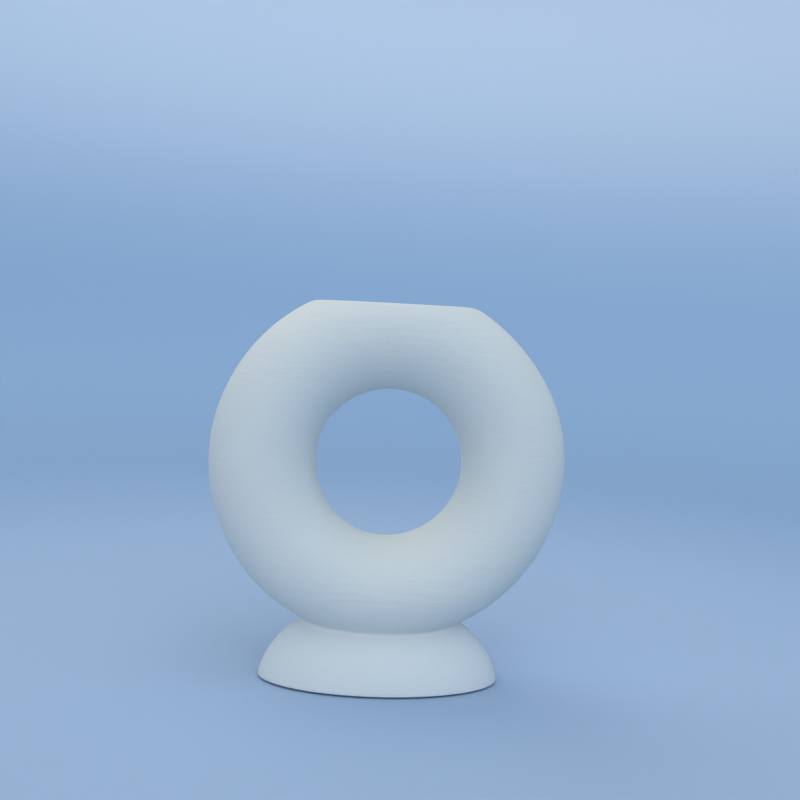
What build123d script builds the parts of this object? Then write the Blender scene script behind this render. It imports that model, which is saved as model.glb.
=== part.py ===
"""Donut vase: a hollow ceramic ring with a flat-cut oval mouth, standing on a flared hollow foot.

The ring is made of two half shells luted together along its middle plane, lined with glaze, and
bedded with slip in the saddle-shaped seat of an oval foot. Four felt pads keep the foot off the table.
Millimetres, +Z up, mouth upwards, the ring's hole along Y, origin on the table under the middle.
"""
import os
from math import cos, radians, sin, sqrt

from build123d import *

# Ring
ring_diameter = 200.0    # outside, across the ring
hole_diameter = 83.0     # clear hole through the ring
ring_wall = 4.5          # clay of the two half shells
mouth_drop = 11.0        # the flat mouth lies this far below the top of the full ring
rim_outer_round = 3.0    # softened outer edge of the mouth
rim_inner_round = 1.2    # softened inner edge of the mouth
seam_thickness = 0.5     # slip between the two half shells

# Glaze inside the ring
lining_thickness = 0.4
lining_drop = 3.0        # the glaze ends this far below the mouth

# Foot
ring_lift = 22.2         # underside of the foot to the lowest point of the ring
foot_length = 136.0      # base oval, along X
foot_depth = 73.4        # base oval, along Y
neck_length = 85.0       # top oval, tucked up inside the ring's outline
neck_depth = 23.0
neck_tuck = 2.6          # the foot is cut to the ring from this far inside the ring's outline
foot_wall = 5.0          # clay at the neck
foot_land = 13.0         # width of the flat ring that the foot stands on
foot_edge_round = 1.0    # outer lower edge
land_edge_round = 1.0    # inner lower edge
foot_ovals = 7           # sections that shape the flare
flare_start_share = 0.12  # stretch of a quarter round that the flare follows, from its upright end
flare_end_share = 0.75

# Bed of slip between foot and ring
bed_thickness = 0.6
bed_gap = 0.05           # hair gap between curved faces that are fired together

# Felt pads under the foot
pad_diameter = 7.0
pad_thickness = 1.2
pad_margin = 0.5         # flat of the land left bare inside a pad
pad_turn = 55.0          # degrees from the long axis, round the oval

# Worked out from the sizes above
ring_radius = ring_diameter / 2
hole_radius = hole_diameter / 2
tube_radius = (ring_radius - hole_radius) / 2
centre_radius = (ring_radius + hole_radius) / 2
bore_radius = tube_radius - ring_wall
foot_base = pad_thickness
ring_height = foot_base + ring_lift + ring_radius
mouth_height = ring_height + ring_radius - mouth_drop
ring_axis = Axis((0, 0, ring_height), (0, 1, 0))
ring_plane = Plane.XY.offset(ring_height)
seam_plane = Plane(origin=(0, 0, ring_height), x_dir=(1, 0, 0), z_dir=(0, -1, 0))
bed_radius = tube_radius + bed_gap
seat_radius = bed_radius + bed_thickness + bed_gap
neck_drop = sqrt(ring_radius**2 - (neck_length / 2) ** 2)
foot_height = ring_height - neck_drop + neck_tuck - foot_base


def flare(share):
    """Return how far the flare has drawn in, 0 at the base and 1 at the neck, at a share of its height."""

    def drawn_in(turn):
        return 1 - sqrt(1 - turn**2)

    start = drawn_in(flare_start_share)
    end = drawn_in(flare_end_share)
    here = drawn_in(flare_start_share + (flare_end_share - flare_start_share) * share)
    return (here - start) / (end - start)


def foot_oval(share, base_inset, neck_inset):
    """Return the half axes of the foot's oval at a share of its height, inset from the outside."""
    inset = base_inset + (neck_inset - base_inset) * share
    half_length = foot_length / 2 - (foot_length - neck_length) / 2 * flare(share)
    half_depth = foot_depth / 2 - (foot_depth - neck_depth) / 2 * flare(share)
    return half_length - inset, half_depth - inset


os.makedirs("parts", exist_ok=True)
oval_shares = [step / (foot_ovals - 1) for step in range(foot_ovals)]

# Front half shell of the ring: half a hollow tube revolved round the hole, then cut flat for the mouth
with BuildPart() as ring_front_shell:
    with BuildSketch(ring_plane):
        with Locations((centre_radius, 0)):
            Circle(tube_radius)
            Circle(bore_radius, mode=Mode.SUBTRACT)
        split(bisect_by=Plane.XZ.offset(seam_thickness / 2), keep=Keep.TOP)
    revolve(axis=ring_axis)
    split(bisect_by=Plane.XY.offset(mouth_height), keep=Keep.BOTTOM)
    for place, radius in ((0, rim_inner_round), (-1, rim_outer_round)):
        rim = ring_front_shell.faces().sort_by(Axis.Z)[-1]
        rim_edges = rim.edges().filter_by(GeomType.LINE, reverse=True).sort_by(SortBy.LENGTH)
        fillet(rim_edges[place], radius)
ring_front_shell.part.label = "ring_front_shell"
export_step(ring_front_shell.part, "parts/ring_front_shell.step")

# Rear half shell: the front one seen in a mirror
with BuildPart() as ring_rear_shell:
    mirror(ring_front_shell.part, about=Plane.XZ)
ring_rear_shell.part.label = "ring_rear_shell"
export_step(ring_rear_shell.part, "parts/ring_rear_shell.step")

# Slip along the outer seam, a flat hoop that ends at the mouth
with BuildPart() as outer_seam_slip:
    with BuildSketch(seam_plane):
        Circle(ring_radius)
        Circle(ring_radius - ring_wall, mode=Mode.SUBTRACT)
    extrude(amount=seam_thickness / 2, both=True)
    split(bisect_by=Plane.XY.offset(mouth_height), keep=Keep.BOTTOM)
    for places, radius in (((0, -1), rim_outer_round), ((1, 2), rim_inner_round)):
        corners = outer_seam_slip.edges().filter_by(Axis.Y).group_by(Axis.Z)[-1].sort_by(Axis.X)
        fillet([corners[place] for place in places], radius)
outer_seam_slip.part.label = "outer_seam_slip"
export_step(outer_seam_slip.part, "parts/outer_seam_slip.step")

# Slip along the seam round the hole, a whole hoop
with BuildPart() as inner_seam_slip:
    with BuildSketch(seam_plane):
        Circle(hole_radius + ring_wall)
        Circle(hole_radius, mode=Mode.SUBTRACT)
    extrude(amount=seam_thickness / 2, both=True)
inner_seam_slip.part.label = "inner_seam_slip"
export_step(inner_seam_slip.part, "parts/inner_seam_slip.step")

# Glaze that lines the channel and keeps water in
with BuildPart() as glaze_lining:
    with BuildSketch(ring_plane):
        with Locations((centre_radius, 0)):
            Circle(bore_radius - bed_gap)
            Circle(bore_radius - bed_gap - lining_thickness, mode=Mode.SUBTRACT)
    revolve(axis=ring_axis)
    split(bisect_by=Plane.XY.offset(mouth_height - lining_drop), keep=Keep.BOTTOM)
glaze_lining.part.label = "glaze_lining"
export_step(glaze_lining.part, "parts/glaze_lining.step")

# Oval collar that the foot and its bed of slip are both cut from
with BuildPart() as foot_collar:
    for share in oval_shares:
        with BuildSketch(Plane.XY.offset(foot_base + foot_height * share)):
            Ellipse(*foot_oval(share, 0, 0))
    loft()
    outer_edge = foot_collar.edges().sort_by(Axis.Z)[0]
    fillet(outer_edge, foot_edge_round)
    for share in oval_shares:
        with BuildSketch(Plane.XY.offset(foot_base + foot_height * share)):
            Ellipse(*foot_oval(share, foot_land, foot_wall))
    loft(mode=Mode.SUBTRACT)
    land = foot_collar.faces().sort_by(Axis.Z)[0]
    fillet(land.inner_wires().edges(), land_edge_round)

# Flared foot, its top cut to a saddle that the ring sits in
with BuildPart() as flared_foot:
    add(foot_collar.part)
    with Locations(ring_plane):
        Torus(centre_radius, seat_radius, rotation=(90, 0, 0), mode=Mode.SUBTRACT)
flared_foot.part.label = "flared_foot"
export_step(flared_foot.part, "parts/flared_foot.step")

# Bed of slip that fills the saddle joint
with BuildPart() as foot_joint_slip:
    add(foot_collar.part)
    with Locations(ring_plane):
        Torus(centre_radius, bed_radius + bed_thickness, rotation=(90, 0, 0), mode=Mode.INTERSECT)
        Torus(centre_radius, bed_radius, rotation=(90, 0, 0), mode=Mode.SUBTRACT)
foot_joint_slip.part.label = "foot_joint_slip"
export_step(foot_joint_slip.part, "parts/foot_joint_slip.step")

# Felt pads stuck to the inner part of the foot's land, out of sight
pad_inset = foot_land - land_edge_round - pad_margin - pad_diameter / 2
pad_half_length = foot_length / 2 - pad_inset
pad_half_depth = foot_depth / 2 - pad_inset
pad_turns = [pad_turn, 180 - pad_turn, 180 + pad_turn, 360 - pad_turn]
for number, turn in enumerate(pad_turns, start=1):
    pad_place = (pad_half_length * cos(radians(turn)), pad_half_depth * sin(radians(turn)))
    with BuildPart() as foot_pad:
        with BuildSketch():
            with Locations(pad_place):
                Circle(pad_diameter / 2)
        extrude(amount=pad_thickness)
    foot_pad.part.label = f"foot_pad_{number}"
    export_step(foot_pad.part, f"parts/foot_pad_{number}.step")
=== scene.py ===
"""Looks of a donut vase: a matte ceramic ring on a flared foot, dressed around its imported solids."""
import math

import bmesh
import bpy
from bpy.props import FloatProperty, FloatVectorProperty, IntProperty, PointerProperty
from mathutils import Matrix, Vector, noise


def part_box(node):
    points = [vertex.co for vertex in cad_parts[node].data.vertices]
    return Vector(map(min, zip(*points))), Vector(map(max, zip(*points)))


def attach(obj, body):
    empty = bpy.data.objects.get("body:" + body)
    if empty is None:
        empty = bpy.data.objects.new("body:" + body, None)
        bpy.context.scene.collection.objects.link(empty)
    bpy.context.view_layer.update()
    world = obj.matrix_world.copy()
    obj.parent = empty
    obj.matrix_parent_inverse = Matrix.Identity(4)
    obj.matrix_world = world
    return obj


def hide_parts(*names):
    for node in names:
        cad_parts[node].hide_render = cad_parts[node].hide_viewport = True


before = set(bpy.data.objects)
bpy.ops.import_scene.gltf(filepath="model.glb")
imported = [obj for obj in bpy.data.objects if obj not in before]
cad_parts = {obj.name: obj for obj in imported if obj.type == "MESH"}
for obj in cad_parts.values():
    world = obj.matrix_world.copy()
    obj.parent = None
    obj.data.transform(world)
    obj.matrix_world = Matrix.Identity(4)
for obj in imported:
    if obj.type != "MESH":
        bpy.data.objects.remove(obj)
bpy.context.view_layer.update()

bl_info = {
    "name": "Donut Vase",
    "version": (1, 0, 0),
    "blender": (4, 5, 0),
    "location": "View3D > Sidebar > Vase",
    "description": "Dresses a hollow ring vase on a flared oval foot",
    "category": "Object",
}

BODY = "root"
MM = 0.001
FULL_TURN = 2 * math.pi


def read_frame_sizes():
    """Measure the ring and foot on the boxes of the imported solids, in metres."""
    seam_low, seam_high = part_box("outer_seam_slip")
    shell_low, shell_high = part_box("ring_front_shell")
    hoop_low, hoop_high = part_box("inner_seam_slip")
    lining_low, lining_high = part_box("glaze_lining")
    foot_low, foot_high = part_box("flared_foot")
    ring_radius = (seam_high.x - seam_low.x) / 2
    tube_radius = -shell_low.y
    hole_radius = ring_radius - 2 * tube_radius
    wall = (hoop_high.x - hoop_low.x) / 2 - hole_radius
    return {
        "ring_radius": ring_radius,
        "ring_height": seam_low.z + ring_radius,
        "tube_radius": tube_radius,
        "mouth_height": seam_high.z,
        "wall": wall,
        "seam_width": seam_high.y - seam_low.y,
        "lining_drop": seam_high.z - lining_high.z,
        "lining_gap": tube_radius - wall - lining_high.y,
        "foot_base": foot_low.z,
    }


CAD = read_frame_sizes()


def length(name, description, default):
    """Return a length property of the vase, in metres."""
    return FloatProperty(name=name, description=description, default=default, unit="LENGTH", precision=4)


def amount(name, description, default):
    """Return a property for a plain number."""
    return FloatProperty(name=name, description=description, default=default)


def tint(name, description, default):
    """Return a colour property, as linear red, green and blue."""
    return FloatVectorProperty(
        name=name, description=description, default=default, size=3, min=0.0, max=1.0, subtype="COLOR"
    )


class VaseRing(bpy.types.PropertyGroup):
    """Sizes of the hollow ring."""

    ring_radius: length("Ring radius", "Outside radius of the whole ring", CAD["ring_radius"])
    ring_height: length("Ring height", "Centre of the ring above the table", CAD["ring_height"])
    tube_radius: length("Tube radius", "Outside radius of the tube bent into the ring", CAD["tube_radius"])
    wall: length("Wall", "Thickness of the clay", CAD["wall"])
    mouth_height: length("Mouth height", "Height of the flat-cut mouth", CAD["mouth_height"])
    seam_width: length("Seam width", "Slip between the two half shells", CAD["seam_width"])
    seam_sink: length("Seam sink", "Depth of the hairline that fettling left along the seam", 0.05 * MM)
    rim_soft_side: length("Rim softness at the side", "Run of the rounding at the front and back", 1.5 * MM)
    rim_soft_left: length("Rim softness at the left", "Run of the rounding at the left end", 3.6 * MM)
    rim_soft_right: length("Rim softness at the right", "Run of the rounding at the right end", 5.0 * MM)
    rim_soft_inside: length("Rim softness inside", "Run of the rounding towards the channel", 1.7 * MM)
    hand_depth: length("Hand unevenness", "How far sponging has worn the surface", 0.3 * MM)
    shoulder_flat: length("Flat shoulder", "How far the right shoulder is flattened", 1.0 * MM)
    hole_fill: length("Full hole side", "How far the tube swells into the hole at the left", 1.1 * MM)
    lining_drop: length("Lining drop", "Top of the glaze below the mouth", CAD["lining_drop"])
    lining_gap: length("Lining gap", "Hair gap between the clay and the glaze", CAD["lining_gap"])
    lining_thickness: length("Lining thickness", "Thickness of the glaze", 0.4 * MM)
    lining_wave: length("Lining wave", "Unevenness of the poured glaze's edge", 0.8 * MM)


class VaseFoot(bpy.types.PropertyGroup):
    """Sizes of the flared foot, its joint and its pads."""

    base: length("Base height", "Underside of the foot above the table", CAD["foot_base"])
    length_x: length("Length", "Base oval, along the ring", 136.0 * MM)
    depth_y: length("Depth", "Base oval, across the ring", 73.1 * MM)
    neck_length: length("Neck length", "Top oval, along the ring", 85.0 * MM)
    neck_depth: length("Neck depth", "Top oval, across the ring", 23.0 * MM)
    neck_tuck: length("Neck tuck", "How far the top oval lies inside the ring's outline", 2.6 * MM)
    wall: length("Wall", "Clay at the neck", 5.0 * MM)
    land: length("Land", "Width of the flat ring at the base", 13.0 * MM)
    edge_round: length("Edge rounding", "Run of the rounding of the outer lower edge", 0.6 * MM)
    land_round: length("Land rounding", "Run of the rounding of the inner lower edge", 1.0 * MM)
    bed: length("Bed", "Slip between the ring and the foot", 0.7 * MM)
    cove: length("Cove", "Leg of the soft cove wiped along the joint", 2.4 * MM)
    inner_cove: length("Inner cove", "Leg of the cove under the foot", 0.8 * MM)
    flare_start: amount("Flare start", "Where the flare starts on a quarter round", 0.12)
    flare_end: amount("Flare end", "Where the flare ends on a quarter round", 0.75)


class VaseFinish(bpy.types.PropertyGroup):
    """Colours of the finishes."""

    clay: tint("Clay", "Matte fired clay of the ring", (0.665, 0.70, 0.69))
    # The foot's clay is the ring's clay made darker and bluer: painted shade on the foot
    shaded_foot_clay: tint("Foot clay", "Matte fired clay of the foot, darker and bluer as painted shade", (0.615, 0.672, 0.695))
    slip: tint("Slip", "Joining slip, a little denser than the clay", (0.66, 0.69, 0.68))
    glaze: tint("Glaze", "Clear-white glaze inside the ring", (0.74, 0.76, 0.73))
    # The pads are real felt; their dark navy colour is painted shade in the gap under the foot
    felt: tint("Felt", "Wool felt under the foot, dark navy as painted shade in the gap", (0.025, 0.035, 0.06))


class VaseStage(bpy.types.PropertyGroup):
    """Camera, floor and light."""

    azimuth: amount("Azimuth", "Camera's turn round the vase, in degrees", -4.4)
    elevation: amount("Elevation", "Camera above the ring's centre, in degrees", 7.5)
    distance: length("Distance", "Camera to the ring's centre", 600 * MM)
    roll: amount("Roll", "Clockwise turn of the picture, in degrees", 2.91)
    focal_pixels: amount("Focal length", "In picture pixels", 1065.0)
    ring_pixel_x: amount("Ring pixel X", "Ring centre in the picture", 388.35)
    ring_pixel_y: amount("Ring pixel Y", "Ring centre in the picture", 462.6)
    picture_pixels: IntProperty(name="Picture", description="Side of the square picture", default=800)
    floor_colour: tint("Floor", "Pale cool floor", (0.335, 0.46, 0.65))
    # The far floor is darker as painted shade, and the backdrop's top paler as painted light
    far_floor_shade: tint("Far floor", "Floor further off and foot of the backdrop, darker as painted shade", (0.235, 0.365, 0.56))
    backdrop_painted_light: tint("Backdrop", "Top of the backdrop, paler as painted light", (0.62, 0.74, 0.90))
    world_colour: tint("World", "Dim light from all round", (0.08, 0.08, 0.08))
    light_strength: amount("Light strength", "Scale of all the lights", 0.97)
    light_spread: amount("Light spread", "Width of each light, in degrees", 60.0)


# Steps of the ring's grid
TURNS = 192              # round the ring
ROLLS = 42               # round half the tube, from the outer seam to the seam in the hole
TOP = TURNS // 4         # the step at the top of the ring
WINDOW_TURNS = 20        # steps either side of the top that the mouth's patch takes up
WINDOW_ROLLS = 16
RING_STEPS = 8           # from the patch's border to the rim
ARC_STEPS = 5            # round an edge
FLAT_STEPS = 3           # across the flat of the rim
SEAM_MARGIN = math.radians(0.3)
WEAR_SCALE = 24.0        # hand unevenness, waves per metre
RIM_FADE = 18 * MM       # the unevenness dies out this far below the rim
END_POWER = 4            # how quickly the rim's rounding grows towards the mouth's ends
# Where the hand-built ring is off true: the middle and half width, round the ring
SHOULDER = (math.radians(44), math.radians(32))
HOLE_SIDE = (math.radians(200), math.radians(60))
HALVINGS = 40            # of a search by halves

# Steps of the foot's grid
FOOT_TURNS = 176
FOOT_ROWS = 20
LAND_STEPS = 3
SEAT_STEPS = 3
PAD_TURNS = 56
PAD_COUNT = 4
PAD_FUZZ = 0.012         # unevenness of a pad's edge, as a share of its radius
PAD_WAVES = 6            # of that unevenness, across a pad

SHARP_ANGLE = math.radians(50)  # edges sharper than this are shaded hard

# Stage: floor and backdrop in metres
STAGE_TURNS = 96
FLOOR_FLAT = 0.8         # radius of the level floor
BOWL_REACH = 3.4         # radius at the top of the backdrop
BOWL_HEIGHT = 2.4
BOWL_STEPS = 28
BOWL_POWER = 3           # how gently the floor starts to rise
# The floor's fade is painted shade, the backdrop's fade painted light
FLOOR_FADE = (0.2, 0.9)      # distances between which the floor changes colour
BACKDROP_FADE = (0.2, 1.4)   # heights between which the backdrop grows paler

# Broad lights: name, turn from the front and height in degrees, strength, colour
LIGHTS = (
    ("light_front", 0, 30, 0.90, (0.96, 1.0, 1.0)),
    ("light_left", -45, 18, 0.44, (1.0, 0.92, 0.77)),
    ("light_right", 45, 52, 0.56, (0.73, 0.88, 1.0)),
    ("light_above", 0, 88, 0.88, (0.99, 1.0, 0.99)),
    ("light_behind_left", -140, 40, 0.83, (1.0, 0.98, 0.93)),
    ("light_behind_right", 140, 40, 0.17, (1.0, 0.97, 0.80)),
)


def halve(outside, low, high):
    """Return the place between low and high where outside(place) turns from true to false."""
    for _ in range(HALVINGS):
        middle = (low + high) / 2
        if outside(middle):
            low = middle
        else:
            high = middle
    return (low + high) / 2


def arc(start, corner, end):
    """Return the points that round a corner from start to end, without start."""
    points = []
    for step in range(1, ARC_STEPS + 1):
        share = step / ARC_STEPS
        points.append(start.lerp(corner, share).lerp(corner.lerp(end, share), share))
    return points


def run(start, end, steps):
    """Return evenly spaced points from start to end, without start."""
    return [start.lerp(end, step / steps) for step in range(1, steps + 1)]


def heart(ring, point):
    """Return the nearest point on the circle at the middle of the ring's tube."""
    centre = Vector((0, 0, ring.ring_height))
    reach = Vector((point.x, 0, point.z)) - centre
    return centre + reach.normalized() * (ring.ring_radius - ring.tube_radius)


def onto_tube(ring, point, radius):
    """Return the point moved straight to a tube of that radius round the ring."""
    middle = heart(ring, point)
    return middle + (point - middle).normalized() * radius


def worn(ring, point):
    """Return a point of the ring's skin as uneven sponging leaves it, a little further in."""
    fade = min(1.0, max(0.0, (ring.mouth_height - point.z) / RIM_FADE))
    unevenness = 0.5 + 0.5 * noise.noise(point * WEAR_SCALE)
    inwards = (heart(ring, point) - point).normalized()
    return point + inwards * ring.hand_depth * fade * min(1.0, max(0.0, unevenness))


def swell(turn, middle, half_width):
    """Return a soft bump round the ring, from 1 at its middle to 0 at its ends."""
    share = min(1.0, abs(math.remainder(turn - middle, FULL_TURN)) / half_width)
    return (1 - share**2) ** 2


def lopsided(ring, turn, roll):
    """Return how much further out than a true tube the hand-built ring's skin lies."""
    flat = ring.shoulder_flat * swell(turn, *SHOULDER) * max(0.0, math.cos(roll))
    full = ring.hole_fill * swell(turn, *HOLE_SIDE) * max(0.0, -math.cos(roll))
    return full - flat


class Skin:
    """One side of half the hollow ring: a half tube of one radius, from seam to seam."""

    def __init__(self, ring, radius, seam_width, is_worn=False):
        self.ring = ring
        self.radius = radius
        self.seam_roll = math.asin(seam_width / 2 / radius)
        self.is_worn = is_worn

    def roll(self, step):
        """Return the angle round the tube at a grid step, with a narrow step beside each seam."""
        first, last = self.seam_roll, math.pi - self.seam_roll
        if step == 0:
            return first
        if step == ROLLS:
            return last
        share = (step - 1) / (ROLLS - 2)
        return first + SEAM_MARGIN + (last - first - 2 * SEAM_MARGIN) * share

    def point(self, turn, roll):
        """Return the point of the front half at an angle round the ring and one round the tube."""
        ring = self.ring
        radius = self.radius + (lopsided(ring, turn, roll) if self.is_worn else 0.0)
        reach = ring.ring_radius - ring.tube_radius + radius * math.cos(roll)
        height = ring.ring_height + reach * math.sin(turn)
        place = Vector((reach * math.cos(turn), -radius * math.sin(roll), height))
        return worn(ring, place) if self.is_worn else place

    def grid_point(self, turn_step, roll_step):
        """Return the point at a step of the ring's grid."""
        return self.point(FULL_TURN * turn_step / TURNS, self.roll(roll_step))

    def ray_point(self, border, share):
        """Return the point at a share of the way from the mouth's middle to a step on the patch's border."""
        turn_step, roll_step = border
        middle = FULL_TURN / 4
        turn = middle + (FULL_TURN * turn_step / TURNS - middle) * share
        roll = self.seam_roll + (self.roll(roll_step) - self.seam_roll) * share
        return self.point(turn, roll)

    def edge_share(self, border, height):
        """Return the share along a ray where the skin passes a height."""
        return halve(lambda share: self.ray_point(border, share).z > height, 0.0, 1.0)

    def share_past(self, border, share, distance):
        """Return the share that lies a distance further out along a ray."""
        nudge = 0.01
        step = (self.ray_point(border, share + nudge) - self.ray_point(border, share)).length
        return share + nudge * distance / step


def in_window(turn_step, roll_step):
    """Tell whether a grid cell lies in the patch that the mouth is cut from."""
    return abs(turn_step + 0.5 - TOP) < WINDOW_TURNS and roll_step < WINDOW_ROLLS


def window_border():
    """Return the grid steps along the patch's border, from seam to seam over the front."""
    first, last = TOP - WINDOW_TURNS, TOP + WINDOW_TURNS
    up = [(first, roll_step) for roll_step in range(WINDOW_ROLLS)]
    across = [(turn_step, WINDOW_ROLLS) for turn_step in range(first, last)]
    down = [(last, roll_step) for roll_step in range(WINDOW_ROLLS, -1, -1)]
    return up + across + down


def rim_profile(outside, inside, border, height, soft, soft_inside):
    """Return the points of one ray over the rim, from the outer border to the inner one, both left out."""
    outer_share = outside.edge_share(border, height)
    inner_share = inside.edge_share(border, height)
    outer_edge = outside.ray_point(border, outer_share)
    inner_edge = inside.ray_point(border, inner_share)
    inner_edge.z = outer_edge.z = height
    inwards = (inner_edge - outer_edge).normalized()
    outer_start = outside.share_past(border, outer_share, soft)
    inner_start = inside.share_past(border, inner_share, soft_inside)
    outer_shares = [1 + (outer_start - 1) * step / RING_STEPS for step in range(1, RING_STEPS + 1)]
    inner_shares = [1 + (inner_start - 1) * step / RING_STEPS for step in range(RING_STEPS - 1, 0, -1)]
    points = [outside.ray_point(border, share) for share in outer_shares]
    flat_start = outer_edge + inwards * soft
    flat_end = inner_edge - inwards * soft_inside
    points += arc(points[-1], outer_edge, flat_start)
    points += run(flat_start, flat_end, FLAT_STEPS)
    points += arc(flat_end, inner_edge, inside.ray_point(border, inner_start))
    return points + [inside.ray_point(border, share) for share in inner_shares]


def skin_grid(mesh, skin):
    """Add a skin's grid to the mesh, without the patch of the mouth, and return its vertices by step."""
    grid = {}
    for turn_step in range(TURNS):
        for roll_step in range(ROLLS + 1):
            inside_patch = abs(turn_step - TOP) < WINDOW_TURNS and roll_step < WINDOW_ROLLS
            if not inside_patch:
                grid[turn_step, roll_step] = mesh.verts.new(skin.grid_point(turn_step, roll_step))
    for turn_step in range(TURNS):
        following = (turn_step + 1) % TURNS
        for roll_step in range(ROLLS):
            if not in_window(turn_step, roll_step):
                corners = [(turn_step, roll_step), (following, roll_step)]
                corners += [(following, roll_step + 1), (turn_step, roll_step + 1)]
                mesh.faces.new([grid[corner] for corner in corners])
    return grid


def half_shell(outside, inside, heights, softness):
    """Return a mesh of half a hollow ring with its mouth, and the vertex pairs along its two seams.

    heights(border) gives the rim's height and softness(border) its outer and inner rounding, ray by ray.
    """
    mesh = bmesh.new()
    outer_grid = skin_grid(mesh, outside)
    inner_grid = skin_grid(mesh, inside)
    rays = []
    for border in window_border():
        profile = rim_profile(outside, inside, border, heights(border), *softness(border))
        rim = [mesh.verts.new(point) for point in profile]
        rays.append([outer_grid[border], *rim, inner_grid[border]])
    for ray, following in zip(rays, rays[1:]):
        for step in range(len(ray) - 1):
            mesh.faces.new([ray[step], following[step], following[step + 1], ray[step + 1]])

    def folded(ray):
        return [(ray[step], ray[-1 - step]) for step in range(len(ray) // 2)]

    lower_steps = range(TOP + WINDOW_TURNS + 1, TOP - WINDOW_TURNS + TURNS)
    lower = [(outer_grid[step % TURNS, 0], inner_grid[step % TURNS, 0]) for step in lower_steps]
    outer_pairs = folded(rays[-1])[::-1] + lower + folded(rays[0])
    hole_pairs = [(outer_grid[step, ROLLS], inner_grid[step, ROLLS]) for step in range(TURNS)]
    return mesh, outer_pairs, hole_pairs


def close_seam(mesh, pairs, is_loop):
    """Add the flat faces between the outer and inner vertices along a seam."""
    following = pairs[1:] + pairs[:1] if is_loop else pairs[1:]
    for (outer, inner), (next_outer, next_inner) in zip(pairs, following):
        mesh.faces.new([outer, next_outer, next_inner, inner])


def ring_skins(ring):
    """Return the outer and inner skins of the ring's clay."""
    outside = Skin(ring, ring.tube_radius, ring.seam_width, is_worn=True)
    inside = Skin(ring, ring.tube_radius - ring.wall, ring.seam_width)
    return outside, inside


def clay_shell(ring):
    """Return the front half shell's mesh, closed, and the point pairs along its two seams."""
    outside, inside = ring_skins(ring)
    mouth_reach = math.sqrt(ring.ring_radius**2 - (ring.mouth_height - ring.ring_height) ** 2)

    def softness(border):
        edge = outside.ray_point(border, outside.edge_share(border, ring.mouth_height))
        endwise = (abs(edge.x) / mouth_reach) ** END_POWER
        soft_end = ring.rim_soft_left if edge.x < 0 else ring.rim_soft_right
        soft = ring.rim_soft_side + (soft_end - ring.rim_soft_side) * endwise
        return soft, ring.rim_soft_inside

    mesh, outer_pairs, hole_pairs = half_shell(outside, inside, lambda border: ring.mouth_height, softness)
    close_seam(mesh, outer_pairs, is_loop=False)
    close_seam(mesh, hole_pairs, is_loop=True)

    def places(pairs):
        return [(outer.co.copy(), inner.co.copy()) for outer, inner in pairs]

    return mesh, places(outer_pairs), places(hole_pairs)


def join_loops(mesh, loop, next_loop):
    """Add the faces between two closed loops of as many vertices."""
    count = len(loop)
    for place in range(count):
        following = (place + 1) % count
        mesh.faces.new([loop[place], next_loop[place], next_loop[following], loop[following]])


def seam_strip(ring, pairs, is_loop):
    """Return a mesh of the slip along a seam, sunk by a hairline on both sides."""
    mesh = bmesh.new()
    side = Vector((0, ring.seam_width / 2, 0))
    sections = []
    for outer, inner in pairs:
        outer = Vector((outer.x, 0, outer.z))
        inner = Vector((inner.x, 0, inner.z))
        inwards = (inner - outer).normalized()
        sink = inwards * ring.seam_sink * (1 + 0.5 * noise.noise(outer * WEAR_SCALE * 10))
        points = [outer - side, outer + sink, outer + side, inner + side, inner - sink, inner - side]
        sections.append([mesh.verts.new(point) for point in points])
    following = sections[1:] + sections[:1] if is_loop else sections[1:]
    for section, next_section in zip(sections, following):
        join_loops(mesh, section, next_section)
    if not is_loop:
        mesh.faces.new(sections[0])
        mesh.faces.new(sections[-1])
    return mesh


def swept_ring(loops):
    """Return a mesh through a closed series of closed loops of points."""
    mesh = bmesh.new()
    rows = [[mesh.verts.new(point) for point in loop] for loop in loops]
    for row, following in zip(rows, rows[1:] + rows[:1]):
        join_loops(mesh, row, following)
    return mesh


def glaze_shell(ring):
    """Return a mesh of the glaze inside the ring, with the uneven edge that pouring leaves."""
    bore = ring.tube_radius - ring.wall - ring.lining_gap
    against_clay = Skin(ring, bore, 0.0)
    wet_side = Skin(ring, bore - ring.lining_thickness, 0.0)
    top = ring.mouth_height - ring.lining_drop

    def heights(border):
        near = against_clay.ray_point(border, against_clay.edge_share(border, top))
        unevenness = noise.noise(Vector((near.x, abs(near.y), 0)) * WEAR_SCALE * 3)
        return top - ring.lining_wave * (0.5 + 0.5 * unevenness)

    soft = ring.lining_thickness / 3
    mesh, _, _ = half_shell(against_clay, wet_side, heights, lambda border: (soft, soft))
    bmesh.ops.mirror(mesh, geom=mesh.verts[:] + mesh.edges[:] + mesh.faces[:], axis="Y", merge_dist=0.01 * MM)
    return mesh


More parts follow.
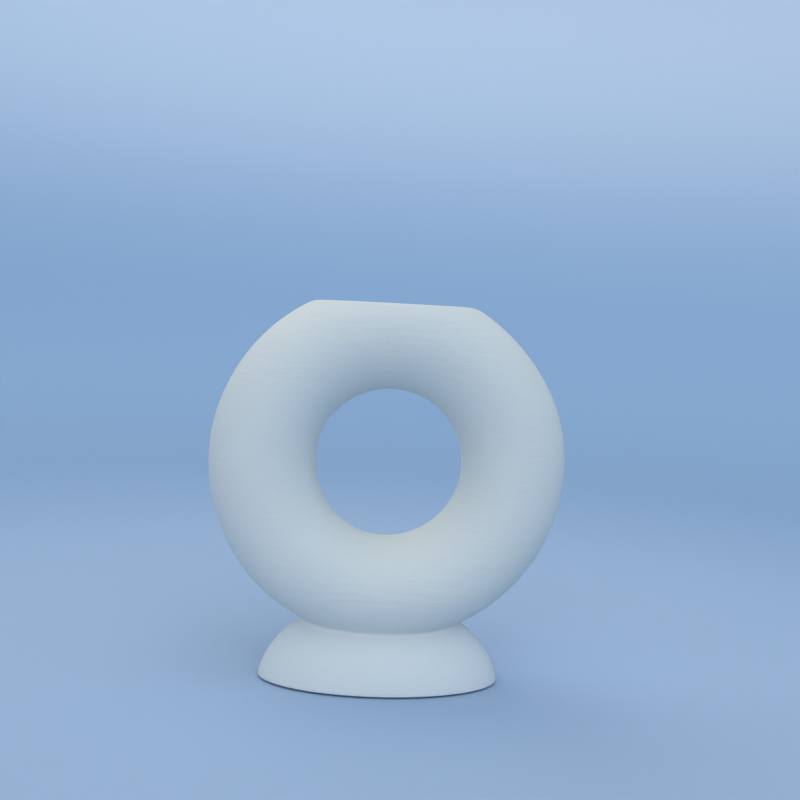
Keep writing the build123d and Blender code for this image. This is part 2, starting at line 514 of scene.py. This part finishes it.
class Flare:
    """The foot's outside, or its hollow, as ovals that draw in from the base to the neck."""

    def __init__(self, ring, foot, base_inset=0.0, neck_inset=0.0):
        self.ring = ring
        self.foot = foot
        self.base_inset = base_inset
        self.neck_inset = neck_inset
        neck_drop = math.sqrt(ring.ring_radius**2 - (foot.neck_length / 2) ** 2)
        self.height = ring.ring_height - neck_drop + foot.neck_tuck - foot.base

    def drawn_in(self, share):
        """Return how far the flare has drawn in, from 0 at the base to 1 at the neck."""
        first, last = self.foot.flare_start, self.foot.flare_end

        def drop(place):
            return 1 - math.sqrt(1 - place**2)

        return (drop(first + (last - first) * share) - drop(first)) / (drop(last) - drop(first))

    def point(self, turn, share):
        """Return the point at an angle round the oval and a share of the height."""
        foot = self.foot
        inset = self.base_inset + (self.neck_inset - self.base_inset) * share
        drawn = self.drawn_in(share)
        reach_x = foot.length_x / 2 - (foot.length_x - foot.neck_length) / 2 * drawn - inset
        reach_y = foot.depth_y / 2 - (foot.depth_y - foot.neck_depth) / 2 * drawn - inset
        return Vector((reach_x * math.cos(turn), reach_y * math.sin(turn), foot.base + self.height * share))

    def normal(self, turn, share):
        """Return the outward normal at a point."""
        nudge = 0.001
        along = self.point(turn + nudge, share) - self.point(turn - nudge, share)
        upwards = self.point(turn, share) - self.point(turn, share - nudge)
        return along.cross(upwards).normalized()

    def seat_share(self, turn, radius):
        """Return the share of the height where the flare meets a tube of that radius round the ring."""

        def is_clear(share):
            point = self.point(turn, share)
            return (point - heart(self.ring, point)).length > radius

        return halve(is_clear, 0.0, 1.0)

    def share_below(self, turn, share, distance):
        """Return the share that lies a distance further down the flare."""
        nudge = 0.001
        step = (self.point(turn, share) - self.point(turn, share - nudge)).length
        return share - nudge * distance / step


def foot_flares(ring, foot):
    """Return the outside of the foot and its hollow."""
    return Flare(ring, foot), Flare(ring, foot, foot.land, foot.wall)


def foot_profile(ring, foot, turn):
    """Return one closed profile of the foot: outside, land, hollow and seat."""
    outside, hollow = foot_flares(ring, foot)
    seat_radius = ring.tube_radius + foot.bed
    top, hollow_top = outside.seat_share(turn, seat_radius), hollow.seat_share(turn, seat_radius)
    low, hollow_low = foot.edge_round / outside.height, foot.land_round / outside.height
    corner, hollow_corner = outside.point(turn, 0.0), hollow.point(turn, 0.0)
    level = outside.normal(turn, 0.0)
    level = Vector((level.x, level.y, 0)).normalized()
    land_start = corner - level * foot.edge_round
    land_end = hollow_corner + level * foot.land_round
    points = []
    for row in range(FOOT_ROWS + 1):
        share = top + (low - top) * row / FOOT_ROWS
        point = outside.point(turn, share)
        wear = math.sin(math.pi * row / FOOT_ROWS) * (0.5 + 0.5 * noise.noise(point * WEAR_SCALE))
        points.append(point - outside.normal(turn, share) * ring.hand_depth * max(0.0, wear))
    points += arc(points[-1], corner, land_start)
    points += run(land_start, land_end, LAND_STEPS)
    points += arc(land_end, hollow_corner, hollow.point(turn, hollow_low))
    for row in range(1, FOOT_ROWS + 1):
        points.append(hollow.point(turn, hollow_low + (hollow_top - hollow_low) * row / FOOT_ROWS))
    seat = run(points[-1], points[0], SEAT_STEPS)[:-1]
    return points + [onto_tube(ring, point, seat_radius) for point in seat]


def cove(ring, flare, turn, leg, faces_out):
    """Return a soft cove from the ring's skin to the foot's, and the corner that it fills."""
    share = flare.seat_share(turn, ring.tube_radius)
    corner = flare.point(turn, share)
    ring_normal = (corner - heart(ring, corner)).normalized()
    foot_normal = flare.normal(turn, share) * (1 if faces_out else -1)
    along_ring = (foot_normal - ring_normal * foot_normal.dot(ring_normal)).normalized()
    start = worn(ring, onto_tube(ring, corner + along_ring * leg, ring.tube_radius))
    end = flare.point(turn, flare.share_below(turn, share, leg))
    return [start, *arc(start, corner, end)], corner


def joint_profile(ring, foot, turn):
    """Return one closed profile of the slip bed: outer cove, underside, inner cove, top."""
    outside, hollow = foot_flares(ring, foot)
    seat_radius = ring.tube_radius + foot.bed
    outer_cove, outer_corner = cove(ring, outside, turn, foot.cove, faces_out=True)
    inner_cove, inner_corner = cove(ring, hollow, turn, foot.inner_cove, faces_out=False)
    outer_seat = outside.point(turn, outside.seat_share(turn, seat_radius))
    inner_seat = hollow.point(turn, hollow.seat_share(turn, seat_radius))
    under = [outer_seat, *run(outer_seat, inner_seat, SEAT_STEPS)]
    over = [inner_corner, *run(inner_corner, outer_corner, SEAT_STEPS)]
    under = [onto_tube(ring, point, seat_radius) for point in under]
    over = [onto_tube(ring, point, ring.tube_radius) for point in over]
    return outer_cove + under + inner_cove[::-1] + over


def pad_mesh(low, high):
    """Return a mesh of a die-cut felt pad that fills a solid's box, with a slightly fuzzy edge."""
    mesh = bmesh.new()
    centre = (low + high) / 2
    radius = (high.x - low.x) / 2
    thickness = high.z - low.z
    soft = thickness / 4
    lower = [(radius - soft, 0.0), (radius - soft / 3, soft / 3), (radius, soft)]
    rows = lower + [(reach, thickness - height) for reach, height in reversed(lower)]
    loops = []
    for reach, height in rows:
        loop = []
        for step in range(PAD_TURNS):
            turn = FULL_TURN * step / PAD_TURNS
            outwards = Vector((math.cos(turn), math.sin(turn), 0))
            layer = Vector((0, 0, height * 4000))
            fuzz = 1 - PAD_FUZZ * (1 + noise.noise(outwards * PAD_WAVES + layer))
            place = outwards * reach * fuzz
            loop.append(mesh.verts.new((centre.x + place.x, centre.y + place.y, low.z + height)))
        loops.append(loop)
    for loop, next_loop in zip(loops, loops[1:]):
        join_loops(mesh, loop, next_loop)
    for loop, height in ((loops[0], 0.0), (loops[-1], thickness)):
        hub = mesh.verts.new((centre.x, centre.y, low.z + height))
        for place, vertex in enumerate(loop):
            mesh.faces.new([vertex, loop[(place + 1) % PAD_TURNS], hub])
    return mesh


def add_node(tree, kind, inputs=(), **settings):
    """Add a shader node, apply its plain settings, and set or link its inputs by name or place."""
    node = tree.nodes.new(kind)
    for name, value in settings.items():
        setattr(node, name, value)
    for key, value in dict(inputs).items():
        if isinstance(value, bpy.types.NodeSocket):
            tree.links.new(value, node.inputs[key])
        else:
            node.inputs[key].default_value = value
    return node


def maths(tree, operation, first, second=0.0, third=0.0):
    """Add a maths node and return its result."""
    return add_node(tree, "ShaderNodeMath", {0: first, 1: second, 2: third}, operation=operation).outputs[0]


def spread(tree, value, low, high):
    """Map a value from 0-1 to low-high and return the result."""
    inputs = {"Value": value, "To Min": low, "To Max": high}
    return add_node(tree, "ShaderNodeMapRange", inputs).outputs["Result"]


def mask(tree, value, start, end):
    """Return a soft mask that rises from 0 to 1 as the value goes from start to end."""
    inputs = {"Value": value, "From Min": start, "From Max": end}
    return add_node(tree, "ShaderNodeMapRange", inputs, interpolation_type="SMOOTHSTEP").outputs["Result"]


def mixed(tree, share, first, second):
    """Return the colour that goes from the first to the second as the share goes from 0 to 1."""
    return add_node(tree, "ShaderNodeMix", {0: share, 6: first, 7: second}, data_type="RGBA").outputs[2]


def cloud(tree, place, scale, detail=2.0, roughness=0.5):
    """Return a noise value at a scale, in waves per metre."""
    inputs = {"Vector": place, "Scale": scale, "Detail": detail, "Roughness": roughness}
    return add_node(tree, "ShaderNodeTexNoise", inputs).outputs["Fac"]


def vase_place(tree):
    """Return the place on the vase, in metres from the table under its middle."""
    return add_node(tree, "ShaderNodeTexCoord").outputs["Object"]


def new_group(name, inputs, outputs):
    """Make a shader node group with those sockets and return it with its input and output nodes."""
    group = bpy.data.node_groups.new(name, "ShaderNodeTree")
    for label, kind, default in inputs:
        group.interface.new_socket(label, in_out="INPUT", socket_type=kind).default_value = default
    for label, kind in outputs:
        group.interface.new_socket(label, in_out="OUTPUT", socket_type=kind)
    return group, add_node(group, "NodeGroupInput"), add_node(group, "NodeGroupOutput")


def tone_group():
    """Return the group for uneven tone: a clouded, faintly specked colour and a patchy roughness."""
    name = "Fired Tone"
    if name in bpy.data.node_groups:
        return bpy.data.node_groups[name]
    inputs = (
        ("Color", "NodeSocketColor", (0.8, 0.8, 0.8, 1.0)),
        ("Variation", "NodeSocketFloat", 0.05),
        ("Smoothest", "NodeSocketFloat", 0.7),
        ("Roughest", "NodeSocketFloat", 0.9),
    )
    outputs = (("Color", "NodeSocketColor"), ("Roughness", "NodeSocketFloat"))
    group, given, result = new_group(name, inputs, outputs)
    place = vase_place(group)
    broad = cloud(group, place, 17.0, detail=3.0)
    speck = mask(group, cloud(group, place, 900.0), 0.66, 0.74)
    variation = given.outputs["Variation"]
    shade = maths(group, "MULTIPLY", maths(group, "SUBTRACT", broad, 0.5), variation)
    shade = maths(group, "MULTIPLY_ADD", speck, maths(group, "MULTIPLY", variation, -0.6), shade)
    inputs = {"Value": maths(group, "ADD", shade, 1.0), "Color": given.outputs["Color"]}
    colour = add_node(group, "ShaderNodeHueSaturation", inputs).outputs["Color"]
    patchy = cloud(group, place, 60.0, detail=4.0, roughness=0.6)
    roughness = spread(group, patchy, given.outputs["Smoothest"], given.outputs["Roughest"])
    group.links.new(colour, result.inputs["Color"])
    group.links.new(roughness, result.inputs["Roughness"])
    return group


def grain_group():
    """Return the group for the relief of sponged clay: fine grain, sponge marks, strokes and pinholes."""
    name = "Clay Grain"
    if name in bpy.data.node_groups:
        return bpy.data.node_groups[name]
    inputs = [("Pinholes", "NodeSocketFloat", 1.0)]
    group, given, result = new_group(name, inputs, [("Height", "NodeSocketFloat")])
    place = vase_place(group)
    fine = cloud(group, place, 1500.0, detail=3.0, roughness=0.6)
    sponge = cloud(group, place, 240.0, detail=2.0)
    level = {0: place, 1: (0.12, 0.12, 1.0)}
    level = add_node(group, "ShaderNodeVectorMath", level, operation="MULTIPLY").outputs["Vector"]
    strokes = cloud(group, level, 420.0, detail=2.0)
    cells = add_node(group, "ShaderNodeTexVoronoi", {"Vector": place, "Scale": 150.0})
    hole = maths(group, "SUBTRACT", 1.0, mask(group, cells.outputs["Distance"], 0.05, 0.11))
    chance = add_node(group, "ShaderNodeSeparateColor", {"Color": cells.outputs["Color"]}).outputs["Red"]
    hole = maths(group, "MULTIPLY", hole, maths(group, "GREATER_THAN", chance, 0.86))
    height = maths(group, "MULTIPLY_ADD", sponge, 0.9, maths(group, "MULTIPLY", fine, 0.6))
    height = maths(group, "MULTIPLY_ADD", strokes, 1.5, height)
    pits = maths(group, "MULTIPLY", maths(group, "MULTIPLY", hole, given.outputs["Pinholes"]), -1.0)
    group.links.new(maths(group, "ADD", height, pits), result.inputs["Height"])
    return group


def new_material(name):
    """Make a material and return it with its tree and its Principled shader."""
    material = bpy.data.materials.new(name)
    material.use_nodes = True
    return material, material.node_tree, material.node_tree.nodes["Principled BSDF"]


def settle(tree, shader, **sockets):
    """Set or link the shader's sockets, which are named with _ for each space."""
    for name, value in sockets.items():
        socket = shader.inputs[name.replace("_", " ")]
        if isinstance(value, bpy.types.NodeSocket):
            tree.links.new(value, socket)
        else:
            socket.default_value = value


def bump(tree, height, strength, depth):
    """Return a normal that shows a height, given its full depth in metres."""
    inputs = {"Strength": strength, "Distance": depth, "Height": height}
    return add_node(tree, "ShaderNodeBump", inputs).outputs["Normal"]


def toned(tree, colour, variation, smoothest, roughest):
    """Add the tone group and return its colour and its roughness."""
    inputs = {"Color": (*colour, 1.0), "Variation": variation, "Smoothest": smoothest, "Roughest": roughest}
    group = add_node(tree, "ShaderNodeGroup", inputs, node_tree=tone_group())
    return group.outputs["Color"], group.outputs["Roughness"]


def grain(tree, pinholes):
    """Add the grain group and return its height."""
    group = add_node(tree, "ShaderNodeGroup", {"Pinholes": pinholes}, node_tree=grain_group())
    return group.outputs["Height"]


def clay_material(name, tone, foot):
    """Return the matte fired clay, darker in patches along the lowest 2 mm of the foot."""
    if name in bpy.data.materials:
        return bpy.data.materials[name]
    material, tree, shader = new_material(name)
    colour, roughness = toned(tree, tone, 0.07, 0.74, 0.92)
    place = vase_place(tree)
    height = add_node(tree, "ShaderNodeSeparateXYZ", {"Vector": place}).outputs["Z"]
    # Darker in patches within 2 mm of the foot's base
    low = mask(tree, height, foot.base + 2.0 * MM, foot.base)
    patches = mask(tree, cloud(tree, place, 260.0, detail=3.0), 0.42, 0.66)
    base_darkening = maths(tree, "MULTIPLY", maths(tree, "MULTIPLY", low, patches), 0.3)
    darker_tone = (*(0.62 * part for part in tone), 1.0)
    colour = mixed(tree, base_darkening, colour, darker_tone)
    normal = bump(tree, grain(tree, 1.0), 0.6, 0.22 * MM)
    settle(tree, shader, Base_Color=colour, Roughness=roughness, Normal=normal, Specular_IOR_Level=0.3)
    return material


def slip_material(finish):
    """Return the joining slip: the clay's own body, wiped smoother and a little tighter in tone."""
    name = "Wiped slip"
    if name in bpy.data.materials:
        return bpy.data.materials[name]
    material, tree, shader = new_material(name)
    colour, roughness = toned(tree, finish.slip, 0.05, 0.66, 0.84)
    normal = bump(tree, grain(tree, 0.2), 0.2, 0.1 * MM)
    settle(tree, shader, Base_Color=colour, Roughness=roughness, Normal=normal, Specular_IOR_Level=0.35)
    return material


def glaze_material(finish):
    """Return the glossy poured glaze, with a slight wave and a faint clouded tint."""
    name = "Poured glaze"
    if name in bpy.data.materials:
        return bpy.data.materials[name]
    material, tree, shader = new_material(name)
    colour, roughness = toned(tree, finish.glaze, 0.04, 0.06, 0.16)
    wave = cloud(tree, vase_place(tree), 70.0, detail=1.0)
    normal = bump(tree, wave, 0.25, 0.4 * MM)
    settle(tree, shader, Base_Color=colour, Roughness=roughness, Normal=normal)
    settle(tree, shader, Coat_Weight=0.4, Coat_Roughness=0.05)
    return material


def felt_material(finish):
    """Return the wool felt, with matted fibres; its dark navy colour is painted shade for the gap under the
    foot.
    """
    name = "Wool felt"
    if name in bpy.data.materials:
        return bpy.data.materials[name]
    material, tree, shader = new_material(name)
    colour, roughness = toned(tree, finish.felt, 0.5, 0.9, 1.0)
    inputs = {"Vector": vase_place(tree), "Scale": 1800.0, "Detail": 4.0, "Distortion": 2.5}
    fibres = add_node(tree, "ShaderNodeTexNoise", inputs).outputs["Fac"]
    normal = bump(tree, fibres, 0.9, 0.3 * MM)
    settle(tree, shader, Base_Color=colour, Roughness=roughness, Normal=normal, Sheen_Weight=0.4)
    return material


def floor_material(stage):
    """Return the plain matte floor, darker far off as painted shade and paler up the backdrop as painted
    light.
    """
    material, tree, shader = new_material("Plain floor")
    place = vase_place(tree)
    distance = add_node(tree, "ShaderNodeVectorMath", {0: place}, operation="LENGTH").outputs["Value"]
    height = add_node(tree, "ShaderNodeSeparateXYZ", {"Vector": place}).outputs["Z"]
    # Painted shade far off and painted light up the backdrop
    far = mask(tree, distance, *FLOOR_FADE)
    high = mask(tree, height, *BACKDROP_FADE)
    colour = mixed(tree, far, (*stage.floor_colour, 1.0), (*stage.far_floor_shade, 1.0))
    colour = mixed(tree, high, colour, (*stage.backdrop_painted_light, 1.0))
    settle(tree, shader, Base_Color=colour, Roughness=0.9, Specular_IOR_Level=0.2)
    return material


def finish_piece(name, mesh, material, slot, *nodes):
    """Turn a mesh into a piece that rides on the vase and stands for its solids."""
    bmesh.ops.recalc_face_normals(mesh, faces=mesh.faces[:])
    for face in mesh.faces:
        face.smooth = True
    data = bpy.data.meshes.new(name)
    mesh.to_mesh(data)
    mesh.free()
    data.set_sharp_from_angle(angle=SHARP_ANGLE)
    data.materials.append(material)
    piece = bpy.data.objects.new(name, data)
    bpy.context.scene.collection.objects.link(piece)
    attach(piece, BODY)
    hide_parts(*nodes)
    return piece


class VaseOperator:
    """What the operators share."""

    bl_options = {"REGISTER", "UNDO"}


class VASE_OT_ring_shells(VaseOperator, bpy.types.Operator):
    """Build the two half shells of the hollow ring, with the flat-cut mouth"""

    bl_idname = "vase.ring_shells"
    bl_label = "Ring shells"

    def execute(self, context):
        scene = context.scene
        material = clay_material("Matte fired clay", scene.vase_finish.clay, scene.vase_foot)
        front, _, _ = clay_shell(scene.vase_ring)
        rear = front.copy()
        bmesh.ops.transform(rear, matrix=Matrix.Scale(-1, 4, (0, 1, 0)), verts=rear.verts[:])
        finish_piece("shell_front", front, material, "bisque", "ring_front_shell")
        finish_piece("shell_rear", rear, material, "bisque", "ring_rear_shell")
        return {"FINISHED"}


class VASE_OT_seam_slips(VaseOperator, bpy.types.Operator):
    """Build the slip along the ring's two seams"""

    bl_idname = "vase.seam_slips"
    bl_label = "Seam slips"

    def execute(self, context):
        scene = context.scene
        material = slip_material(scene.vase_finish)
        shell, outer_pairs, hole_pairs = clay_shell(scene.vase_ring)
        shell.free()
        outer = seam_strip(scene.vase_ring, outer_pairs, is_loop=False)
        inner = seam_strip(scene.vase_ring, hole_pairs, is_loop=True)
        finish_piece("seam_outer", outer, material, "joint_slip", "outer_seam_slip")
        finish_piece("seam_hole", inner, material, "joint_slip", "inner_seam_slip")
        return {"FINISHED"}


class VASE_OT_glaze_lining(VaseOperator, bpy.types.Operator):
    """Build the glaze inside the ring"""

    bl_idname = "vase.glaze_lining"
    bl_label = "Glaze lining"

    def execute(self, context):
        scene = context.scene
        material = glaze_material(scene.vase_finish)
        finish_piece("lining", glaze_shell(scene.vase_ring), material, "glaze", "glaze_lining")
        return {"FINISHED"}


class VASE_OT_foot(VaseOperator, bpy.types.Operator):
    """Build the flared foot and the slip that beds the ring in its saddle"""

    bl_idname = "vase.foot"
    bl_label = "Foot and joint"

    def execute(self, context):
        scene = context.scene
        ring, foot, finish = scene.vase_ring, scene.vase_foot, scene.vase_finish
        turns = [FULL_TURN * step / FOOT_TURNS for step in range(FOOT_TURNS)]
        flared = swept_ring([foot_profile(ring, foot, turn) for turn in turns])
        joint = swept_ring([joint_profile(ring, foot, turn) for turn in turns])
        # The foot gets a darker, bluer copy of the clay: painted shade
        clay = clay_material("Cooler fired clay", finish.shaded_foot_clay, foot)
        finish_piece("foot", flared, clay, "bisque", "flared_foot")
        finish_piece("foot_joint", joint, slip_material(finish), "joint_slip", "foot_joint_slip")
        return {"FINISHED"}


class VASE_OT_foot_pads(VaseOperator, bpy.types.Operator):
    """Build the four felt pads under the foot"""

    bl_idname = "vase.foot_pads"
    bl_label = "Foot pads"

    def execute(self, context):
        material = felt_material(context.scene.vase_finish)
        for number in range(1, PAD_COUNT + 1):
            node = f"foot_pad_{number}"
            finish_piece(f"pad_{number}", pad_mesh(*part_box(node)), material, "felt", node)
        return {"FINISHED"}


def stage_bowl(stage):
    """Return a round floor that curves up into a seamless backdrop on all sides."""
    mesh = bmesh.new()
    hub = mesh.verts.new((0, 0, 0))
    loops = []
    turns = [FULL_TURN * step / STAGE_TURNS for step in range(STAGE_TURNS)]
    for step in range(BOWL_STEPS + 1):
        share = math.sin(math.pi / 2 * step / BOWL_STEPS)
        reach = FLOOR_FLAT + (BOWL_REACH - FLOOR_FLAT) * share
        height = BOWL_HEIGHT * (1 - (1 - share**BOWL_POWER) ** (1 / BOWL_POWER))
        points = [(reach * math.cos(turn), reach * math.sin(turn), height) for turn in turns]
        loops.append([mesh.verts.new(point) for point in points])
    for place, vertex in enumerate(loops[0]):
        mesh.faces.new([hub, vertex, loops[0][(place + 1) % STAGE_TURNS]])
    for loop, next_loop in zip(loops, loops[1:]):
        join_loops(mesh, loop, next_loop)
    for face in mesh.faces:
        face.smooth = True
    data = bpy.data.meshes.new("floor")
    mesh.to_mesh(data)
    mesh.free()
    data.materials.append(floor_material(stage))
    floor = bpy.data.objects.new("floor", data)
    floor.visible_shadow = False
    bpy.context.scene.collection.objects.link(floor)
    return floor


def soft_lights(stage):
    """Add the broad, far lights, in a world that is dim apart from them."""
    world = bpy.data.worlds.new("Dim")
    world.color = stage.world_colour
    bpy.context.scene.world = world
    for name, turn, height, strength, colour in LIGHTS:
        lamp = bpy.data.lights.new(name, "SUN")
        lamp.energy = strength * stage.light_strength
        lamp.angle = math.radians(stage.light_spread)
        lamp.color = colour
        # The backdrop lets only the direct samples of a light through
        lamp.cycles.use_multiple_importance_sampling = False
        light = bpy.data.objects.new(name, lamp)
        light.rotation_euler = (math.radians(90 - height), 0, math.radians(turn))
        bpy.context.scene.collection.objects.link(light)


def turned(first, second, angle):
    """Return two directions turned in their plane, the first towards the second."""
    cosine, sine = math.cos(angle), math.sin(angle)
    return first * cosine + second * sine, second * cosine - first * sine


def camera_axes(stage):
    """Return where the camera stands from the ring's centre, and its right, up and forward directions."""
    azimuth, elevation, roll = (math.radians(angle) for angle in (stage.azimuth, stage.elevation, stage.roll))
    level = math.cos(elevation)
    away = Vector((math.sin(azimuth) * level, -math.cos(azimuth) * level, math.sin(elevation)))
    forward = -away
    right = forward.cross(Vector((0, 0, 1))).normalized()
    up = right.cross(forward)
    right, up = turned(right, up, roll)
    across = (stage.ring_pixel_x - stage.picture_pixels / 2) / stage.focal_pixels
    down = (stage.ring_pixel_y - stage.picture_pixels / 2) / stage.focal_pixels
    swing = math.atan(across)
    tilt = math.atan(down / math.hypot(1, across))
    right, forward = turned(right, forward, swing)
    forward, up = turned(forward, up, tilt)
    return away * stage.distance, right, up, forward


def add_camera(ring, stage):
    """Add the camera at the photograph's viewing angle."""
    away, right, up, forward = camera_axes(stage)
    data = bpy.data.cameras.new("camera")
    data.sensor_width = 36.0
    data.lens = data.sensor_width * stage.focal_pixels / stage.picture_pixels
    data.clip_start = 0.01
    camera = bpy.data.objects.new("camera", data)
    axes = Matrix((right, up, -forward)).transposed().to_4x4()
    camera.matrix_world = Matrix.Translation(Vector((0, 0, ring.ring_height)) + away) @ axes
    bpy.context.scene.collection.objects.link(camera)
    bpy.context.scene.camera = camera


class VASE_OT_stage(VaseOperator, bpy.types.Operator):
    """Set the floor, the soft light and the camera"""

    bl_idname = "vase.stage"
    bl_label = "Stage"

    def execute(self, context):
        scene = context.scene
        ring, stage = scene.vase_ring, scene.vase_stage
        stage_bowl(stage)
        soft_lights(stage)
        add_camera(ring, stage)
        scene.view_settings.view_transform = "Standard"
        return {"FINISHED"}


class VASE_PT_panel(bpy.types.Panel):
    """Sidebar panel of the vase"""

    bl_idname = "VASE_PT_panel"
    bl_label = "Donut vase"
    bl_space_type = "VIEW_3D"
    bl_region_type = "UI"
    bl_category = "Vase"

    def draw(self, context):
        for name, _, operators in STEPS:
            settings = getattr(context.scene, name)
            box = self.layout.box()
            for key in settings.bl_rna.properties.keys()[2:]:
                box.prop(settings, key)
            for operator in operators:
                box.operator(operator.bl_idname)


# What the panel shows and the scene keeps: a name, its settings, and the operators that use them
STEPS = (
    ("vase_finish", VaseFinish, ()),
    ("vase_ring", VaseRing, (VASE_OT_ring_shells, VASE_OT_seam_slips, VASE_OT_glaze_lining)),
    ("vase_foot", VaseFoot, (VASE_OT_foot, VASE_OT_foot_pads)),
    ("vase_stage", VaseStage, (VASE_OT_stage,)),
)


def register():
    """Add the settings, the operators and the panel to Blender."""
    for name, settings, operators in STEPS:
        bpy.utils.register_class(settings)
        setattr(bpy.types.Scene, name, PointerProperty(type=settings))
        for operator in operators:
            bpy.utils.register_class(operator)
    bpy.utils.register_class(VASE_PT_panel)


def unregister():
    """Take them away again."""
    bpy.utils.unregister_class(VASE_PT_panel)
    for name, settings, operators in reversed(STEPS):
        for operator in operators:
            bpy.utils.unregister_class(operator)
        delattr(bpy.types.Scene, name)
        bpy.utils.unregister_class(settings)


def main():
    """Register the add-on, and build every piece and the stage."""
    register()
    bpy.ops.vase.ring_shells()
    bpy.ops.vase.seam_slips()
    bpy.ops.vase.glaze_lining()
    bpy.ops.vase.foot()
    bpy.ops.vase.foot_pads()
    bpy.ops.vase.stage()


if __name__ == "__main__":
    main()
